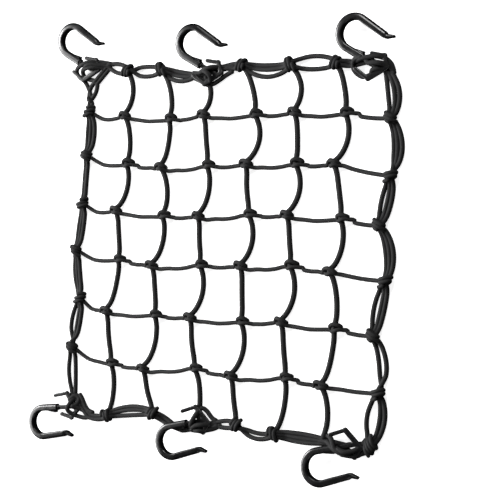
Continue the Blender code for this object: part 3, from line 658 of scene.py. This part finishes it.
# Each strand at a hook, by places on its way: u along the shank, q off the stem's middle line towards the
# free arm, and the strand's level, from 0 on the floor to about 1 over the stem.
BIGHTS = {
    "hook_1": (
        (
            (53.0, -28.0, 0.0), (45.0, -22.0, 0.0), (36.5, -17.2, 0.1), (28.0, -16.2, 0.2),
            (22.6, -13.2, 0.4), (22.4, -8.4, 0.6), (26.5, -3.0, 0.9), (31.5, 2.8, 1.0),
            (36.5, 7.5, 0.8), (44.0, 12.0, 0.3), (54.0, 15.8, 0.0), (62.0, 18.5, 0.0),
        ),
        (
            (56.0, 10.0, 0.0), (50.0, 7.5, 0.4), (43.0, 4.0, 0.9), (37.0, 0.0, 1.0),
            (32.0, -4.5, 0.8), (31.0, -9.0, 0.5), (35.0, -12.5, 0.3), (41.0, -11.8, 0.2),
            (47.0, -9.8, 0.1), (52.0, -11.0, 0.0),
        ),
        (
            (60.0, 13.5, 0.0), (53.0, 12.0, 0.3), (46.0, 8.5, 0.7), (40.0, 6.0, 1.0),
            (35.5, 2.0, 1.1), (33.0, -2.5, 0.9),
        ),
    ),
    "hook_2": (
        (
            (12.0, -14.4, 0.0), (20.0, -11.0, 0.1), (26.5, -5.5, 0.6), (31.5, -0.5, 1.0),
            (37.0, 4.6, 0.9), (43.0, 8.6, 0.4), (50.2, 12.4, 0.1), (58.0, 16.5, 0.0),
        ),
        (
            (14.0, -12.5, 0.0), (22.0, -9.0, 0.2), (28.0, -4.0, 0.7), (33.5, -2.5, 1.0),
            (39.0, -4.0, 0.9), (41.0, -9.0, 0.5), (36.5, -12.8, 0.3), (29.0, -12.6, 0.1),
            (20.0, -13.2, 0.0),
        ),
        (
            (58.0, 11.0, 0.0), (52.5, 3.5, 0.0), (48.0, -4.0, 0.0), (43.0, -11.0, 0.0),
            (36.0, -15.5, 0.0), (27.0, -15.8, 0.0), (14.0, -16.8, 0.0),
        ),
    ),
    "hook_3": (
        (
            (56.0, 2.0, 0.0), (50.0, 7.8, 0.1), (42.5, 10.0, 0.3), (34.0, 8.0, 0.8),
            (27.0, 3.0, 1.0), (20.5, -2.0, 0.9), (15.0, -6.5, 0.4), (8.0, -11.5, 0.0),
            (0.0, -15.0, 0.0),
        ),
        (
            (53.0, 0.0, 0.0), (46.0, 0.2, 0.3), (40.0, -2.2, 0.7), (36.2, -6.0, 0.6),
            (35.6, -10.5, 0.3), (31.0, -15.4, 0.1), (25.0, -17.8, 0.0), (17.0, -16.6, 0.1),
            (13.0, -11.0, 0.3), (14.6, -5.0, 0.7), (21.0, 0.0, 1.0),
        ),
        (
            (55.0, 4.0, 0.0), (47.0, 5.6, 0.5), (40.0, 3.8, 1.0), (34.0, 0.4, 1.0),
            (30.0, -1.6, 0.9), (24.0, 1.0, 0.8),
        ),
    ),
    "hook_4": (
        (
            (43.0, -13.0, 0.0), (44.0, -9.0, 0.3), (42.0, -4.0, 0.9), (38.5, 2.0, 1.0),
            (40.5, 7.0, 0.7), (48.0, 11.5, 0.2), (57.0, 13.5, 0.0), (66.0, 11.5, 0.0),
        ),
        (
            (51.0, -13.0, 0.0), (54.0, -8.0, 0.0), (57.0, -1.0, 0.0), (61.0, 5.0, 0.0),
            (68.0, 8.0, 0.0),
        ),
        (
            (45.0, -1.0, 0.9), (49.5, 1.5, 0.5), (55.0, 5.0, 0.1), (62.0, 8.0, 0.0),
        ),
        (
            (39.5, -7.0, 0.6), (44.5, -12.0, 0.3), (50.0, -9.5, 0.1), (49.5, -3.5, 0.4),
            (44.5, 0.5, 0.9),
        ),
    ),
    "hook_5": (
        (
            (12.0, 4.6, 0.0), (20.0, 5.6, 0.0), (26.0, 5.0, 0.5), (30.0, 1.0, 1.0),
            (34.0, -4.5, 0.9), (38.5, -10.5, 0.5), (42.5, -12.8, 0.2), (46.5, -8.5, 0.0),
            (51.0, -1.0, 0.0), (56.0, 3.0, 0.0),
        ),
        (
            (24.0, 8.0, 0.1), (30.0, 9.0, 0.5), (36.0, 9.8, 0.8), (43.0, 11.0, 0.4),
            (52.0, 10.6, 0.0), (60.0, 8.5, 0.0),
        ),
        (
            (30.0, 5.5, 0.9), (36.0, 4.0, 1.0), (42.0, 4.5, 0.9), (48.0, 5.5, 0.4),
            (55.0, 5.5, 0.0),
        ),
    ),
    "hook_6": (
        (
            (2.0, -9.5, 0.0), (11.0, -7.6, 0.2), (17.0, -4.0, 0.7), (22.0, 1.0, 1.0),
            (28.0, 6.0, 1.0), (35.0, 10.0, 0.7), (43.0, 11.5, 0.3), (49.5, 8.0, 0.1),
            (54.0, 2.0, 0.1),
        ),
        (
            (6.0, -11.5, 0.0), (14.0, -13.0, 0.2), (19.0, -10.0, 0.6), (21.5, -4.0, 0.9),
            (22.5, 0.0, 1.0), (26.0, 2.6, 0.9),
        ),
        (
            (26.0, 1.5, 1.0), (33.0, 5.4, 1.1), (41.0, 6.0, 0.8), (48.0, 3.0, 0.3),
            (54.0, -2.5, 0.0),
        ),
    ),
}


def hook_to_net(hook, u, q, height):
    """From a hook's own plane, u along the shank and q off the stem's middle line, to the net's."""
    heading = math.radians(hook["heading"])
    v = q - BEND_RADIUS
    side = -1.0 if hook["turned_over"] else 1.0
    x = hook["x"] + u * math.cos(heading) - side * v * math.sin(heading)
    y = hook["y"] + u * math.sin(heading) + side * v * math.cos(heading)
    return (x, y, height)


for hook in named(HOOK_COLUMNS, HOOKS):
    slope = math.sin(math.radians(hook["lift_angle"]))
    for strand in BIGHTS[hook["name"]]:
        bight = []
        for u, q, level in strand:
            over = PLATE_FOOT + (FAR_CORNER[0] - u) * slope + OVER_STEM
            height = STRAND_RADIUS + (over - STRAND_RADIUS) * level
            bight.append(hook_to_net(hook, u, q, height))
        running_cords.append(laid_cord(bight, STRAND_RADIUS, 0.2))

cords = tubes_mesh("net_cords", running_cords, cord_material)
turns = tubes_mesh("net_edge_turns", edge_turns, cord_material)
for piece in (cords, turns):
    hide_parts("net")

# ---------------------------------------------------------------- hooks
# Each hook is one moulding of black nylon: a deep band bent to a half circle that ends in a thin lip,
# a barb that keeps a bar from slipping out, and an anchor-shaped plate that the border cord is threaded
# through.  The three at the bottom are turned over.
BAND_WIDTH = 6.4
BAND_DEPTH = 8.5
BAND_SIDES = 40
BAND_SQUARENESS = 0.42
BAND_STEP = 0.8
# The outer side of the band is fuller than the inner one, and its edges slope and crown.
OUTER_SPREAD = 1.34
OUTER_SLOPE = 0.036
OUTER_CROWN = 0.009
SHANK_LENGTH = 22.0
ARM_LENGTH = 34.0
ARM_TURN = math.radians(5.0)
LIP_LENGTH = 8.5
LIP_TURN = math.radians(33.0)
BEND_STATIONS = 48
# The band's width, as a share of BAND_WIDTH, by share of its length.  Its depth falls with its width,
# to about LIP_DEPTH of BAND_DEPTH.
TAPER_PLACES = (0.0, 0.58, 0.9, 0.94, 1.0)
TAPER_WIDTHS = (1.0, 1.0, 0.92, 0.6, 0.34)
LIP_DEPTH = 0.72
STEM_START = (16.0, 0.0)
STEM_END = (45.5, 0.0)
BARB_TIP = (7.0, 1.5)
BARB_BACK = (19.6, 4.2)
BARB_ROOT = (15.0, 1.0)
BARB_HEEL = (24.2, 0.6)
BACK_TIP = (19.2, -13.7)
BACK_CORNER = (36.0, -15.5)
FRONT_CORNER = (40.0, 12.3)
FRONT_TIP = (27.0, 7.8)
PLATE_BAR = 4.2
FAR_BAR = 5.6
BAR_SIDES = 20
BAR_SQUARENESS = 0.45
BAR_STEP = 1.5
# Start, end, width and thickness of each straight bar: the stem, the barb's two and the plate's four.
BARS = (
    (STEM_START, STEM_END, 5.0, PLATE_THICKNESS),
    (BARB_TIP, BARB_BACK, 3.2, 6.0),
    (BARB_ROOT, BARB_HEEL, 3.6, 5.5),
    (BACK_TIP, BACK_CORNER, PLATE_BAR, PLATE_THICKNESS),
    (BACK_CORNER, FAR_CORNER, FAR_BAR, PLATE_THICKNESS),
    (FAR_CORNER, FRONT_CORNER, 4.8, PLATE_THICKNESS),
    (FRONT_CORNER, FRONT_TIP, PLATE_BAR, PLATE_THICKNESS),
)
DISCS = (
    (BACK_CORNER, FAR_BAR / 2),
    (FAR_CORNER, FAR_BAR / 2),
    (FRONT_CORNER, FAR_BAR / 2),
    (BACK_TIP, PLATE_BAR / 2),
    (FRONT_TIP, PLATE_BAR / 2),
)
MOULDING_GRAIN = 0.42


def rounded_section(width, depth, sides, squareness):
    """A superellipse: across = w/2 sgn(cos a) |cos a|^k, deep = d/2 sgn(sin a) |sin a|^k."""
    angle = (np.arange(sides) + 0.5) * 2 * np.pi / sides
    c, s = np.cos(angle), np.sin(angle)
    return np.column_stack([
        width / 2 * np.sign(c) * np.abs(c) ** squareness,
        depth / 2 * np.sign(s) * np.abs(s) ** squareness,
    ])


def swept_bar(path, section, widths=1.0, depths=1.0):
    """A section carried along a path in the hook's plane: point = path + across * normal + deep * up,
    with the section's width and depth scaled at each ring."""
    tangent = unit(np.gradient(path, axis=0))
    normal = np.column_stack([-tangent[:, 1], tangent[:, 0]])
    widths = np.broadcast_to(widths, len(path))
    depths = np.broadcast_to(depths, len(path))
    flat = path[:, None, :] + normal[:, None, :] * (section[None, :, :1] * widths[:, None, None])
    deep = np.broadcast_to(section[None, :, 1] * depths[:, None], flat.shape[:2])
    points = np.dstack([flat, deep]).reshape(-1, 3)
    sides = len(section)
    quads = ring_quads(len(path), sides)[:, [0, 3, 2, 1]]
    ends = [list(range(sides)), list(range(len(points) - 1, len(points) - 1 - sides, -1))]
    return points, quads.tolist() + ends


def curved_band():
    """Shank, half circle, free arm and lip, rounded off where they meet; the section's outer side is
    spread by OUTER_SPREAD, and its depth there shrinks by the share slope * x + crown * x^2."""
    sweep = np.linspace(0.0, math.pi - ARM_TURN, BEND_STATIONS)
    bend = BEND_RADIUS * np.column_stack([np.cos(-math.pi / 2 - sweep), np.sin(-math.pi / 2 - sweep)])
    arm_end = bend[-1] + ARM_LENGTH * np.array([math.cos(ARM_TURN), -math.sin(ARM_TURN)])
    lip = LIP_TURN - ARM_TURN
    lip_end = arm_end + LIP_LENGTH * np.array([math.cos(lip), math.sin(lip)])
    shank = [[SHANK_LENGTH, -BEND_RADIUS], [SHANK_LENGTH / 2, -BEND_RADIUS]]
    path, share = even_steps(np.vstack([shank, bend, [arm_end], [lip_end]]), BAND_STEP)
    path[1:-1] = (path[:-2] + 2 * path[1:-1] + path[2:]) / 4
    section = rounded_section(BAND_WIDTH, BAND_DEPTH, BAND_SIDES, BAND_SQUARENESS)
    outside = np.maximum(section[:, 0], 0.0) * OUTER_SPREAD
    section[:, 0] = np.where(section[:, 0] > 0.0, outside, section[:, 0])
    section[:, 1] *= 1.0 - OUTER_SLOPE * outside - OUTER_CROWN * outside**2
    widths = np.interp(share, TAPER_PLACES, TAPER_WIDTHS)
    return swept_bar(path, section, widths, np.interp(widths, [0.3, 1.0], [LIP_DEPTH, 1.0]))


def straight_bar(start, end, width, thickness):
    """A bar between two points, each given along the shank and off the stem's middle line."""
    ends = np.array([start, end]) - [0.0, BEND_RADIUS]
    path, _ = even_steps(ends, BAR_STEP)
    return swept_bar(path, rounded_section(width, thickness, BAR_SIDES, BAR_SQUARENESS))


def disc(corner, radius):
    """A flat disc that rounds a corner or a tip: its half width is r sqrt(1 - (x / r)^2)."""
    reach = np.linspace(-1.0, 1.0, 9)
    path = np.array([corner[0], corner[1] - BEND_RADIUS]) + np.column_stack([reach * radius, 0 * reach])
    section = rounded_section(2 * radius, PLATE_THICKNESS, BAR_SIDES, BAR_SQUARENESS)
    return swept_bar(path, section, np.sqrt(np.maximum(1 - reach**2, 0.02)))


def hook_moulding():
    """The band, bars and discs of one hook, joined by remeshing in fine voxels and smoothed, so that
    every corner gets the small radius of a mould."""
    parts = [curved_band(), *(straight_bar(*bar) for bar in BARS), *(disc(*each) for each in DISCS)]
    points, faces = [], []
    for part_points, part_faces in parts:
        faces += [[v + len(points) for v in face] for face in part_faces]
        points += (part_points * MM).tolist()
    mesh = bpy.data.meshes.new("hook_moulding")
    mesh.from_pydata(points, [], faces)
    shaped = put_in_scene("hook_moulding", mesh)
    remesh = shaped.modifiers.new("join", "REMESH")
    remesh.mode = "VOXEL"
    remesh.voxel_size = MOULDING_GRAIN * MM
    remesh.use_smooth_shade = True
    soften = shaped.modifiers.new("soften", "SMOOTH")
    soften.factor = 0.5
    soften.iterations = 5
    graph = bpy.context.evaluated_depsgraph_get()
    made = bpy.data.meshes.new_from_object(shaped.evaluated_get(graph))
    bpy.data.objects.remove(shaped)
    return made


NYLON_COLOUR = (0.0045, 0.0045, 0.005, 1.0)
NYLON_RUBBED_COLOUR = (0.011, 0.011, 0.012, 1.0)
SPARK_BUMP = 0.00008


def moulded_nylon(name):
    """Black nylon with a low gloss: fine spark texture from the mould, faint flow marks, and paler,
    rougher rubbed places."""
    made, tree, shader = new_material(name)
    where = node(tree, "ShaderNodeTexCoord").outputs["Object"]
    grain = noise(tree, where, 1800.0, 3.0)
    flow = noise(tree, where, 90.0, 4.0)
    rubbed = ramp(tree, flow, 0.55, 0.75, 0.0, 0.6)
    colour = mix_colours(tree, rubbed, NYLON_COLOUR, NYLON_RUBBED_COLOUR)
    roughness = ramp(tree, flow, 0.3, 0.7, 0.24, 0.36)
    shader.inputs["Specular IOR Level"].default_value = 0.5
    dress_shader(tree, shader, colour, roughness, grain, 0.25, SPARK_BUMP)
    return made


nylon = moulded_nylon("black_moulded_plastic")
moulding = hook_moulding()
pivot = Vector((FAR_CORNER[0] * MM, 0.0, 0.0))
for hook in named(HOOK_COLUMNS, HOOKS):
    mesh = moulding.copy()
    mesh.name = hook["name"] + "_moulding"
    place = Vector(((hook["x"] + NET_MIDDLE[0]) * MM, (hook["y"] + NET_MIDDLE[1]) * MM, PLATE_FOOT * MM))
    heading = Matrix.Rotation(math.radians(hook["heading"]), 4, "Z")
    tilt = Matrix.Rotation(math.radians(hook["lift_angle"]), 4, "Y")
    over = Matrix.Rotation(math.pi, 4, "X") if hook["turned_over"] else Matrix.Identity(4)
    on_far_corner = Matrix.Translation(pivot) @ tilt @ Matrix.Translation(-pivot)
    mesh.transform(Matrix.Translation(place) @ heading @ on_far_corner @ over)
    mesh.materials.clear()
    mesh.materials.append(nylon)
    piece = put_in_scene(hook["name"] + "_moulding", mesh)
    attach(piece, "root")
    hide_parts(hook["name"])

# ---------------------------------------------------------------- floor and light
# A white studio floor that glows a little, and four soft boxes to the left and above.  The floor isn't
# seen by rays that have bounced off the net, so the sides turned away from the boxes stay dark.
WHITE = (1.0, 1.0, 1.0, 1.0)
FLOOR_COLOUR = (0.9, 0.9, 0.9, 1.0)
FLOOR_GLOW = 0.85
WORLD_GLOW = 0.01
FLOOR_HALF = 6.0
corners = [(x * FLOOR_HALF, y * FLOOR_HALF, 0.0) for x, y in ((-1, -1), (1, -1), (1, 1), (-1, 1))]
floor_mesh = bpy.data.meshes.new("floor")
floor_mesh.from_pydata(corners, [], [(0, 1, 2, 3)])
floor = put_in_scene("floor", floor_mesh)
floor_paint, _, paint = new_material("studio_floor")
paint.inputs["Base Color"].default_value = FLOOR_COLOUR
paint.inputs["Roughness"].default_value = 0.9
paint.inputs["Emission Color"].default_value = WHITE
paint.inputs["Emission Strength"].default_value = FLOOR_GLOW
floor_mesh.materials.append(floor_paint)
floor.visible_diffuse = False
floor.visible_glossy = False

world = bpy.data.worlds.new("studio")
bpy.context.scene.world = world
world.use_nodes = True
sky = world.node_tree.nodes["Background"]
sky.inputs["Color"].default_value = WHITE
sky.inputs["Strength"].default_value = WORLD_GLOW
# Name, place in metres, side in metres and power in watts.
SOFT_BOXES = (
    ("left_box", (-1.7, 0.5, 1.1), 0.5, 40.0),
    ("top_box", (0.2, 1.4, 1.4), 0.5, 22.0),
    ("front_box", (0.6, -1.5, 1.1), 0.5, 4.0),
    ("low_box", (-2.39, -0.34, 0.92), 1.9, 95.0),
)
for name, place, size, power in SOFT_BOXES:
    light = bpy.data.lights.new(name, "AREA")
    light.shape = "SQUARE"
    light.size = size
    light.energy = power
    facing_net = (-Vector(place)).to_track_quat("-Z", "Y").to_matrix().to_4x4()
    put_in_scene(name, light).matrix_world = Matrix.Translation(place) @ facing_net

bpy.context.scene.view_settings.view_transform = "Standard"
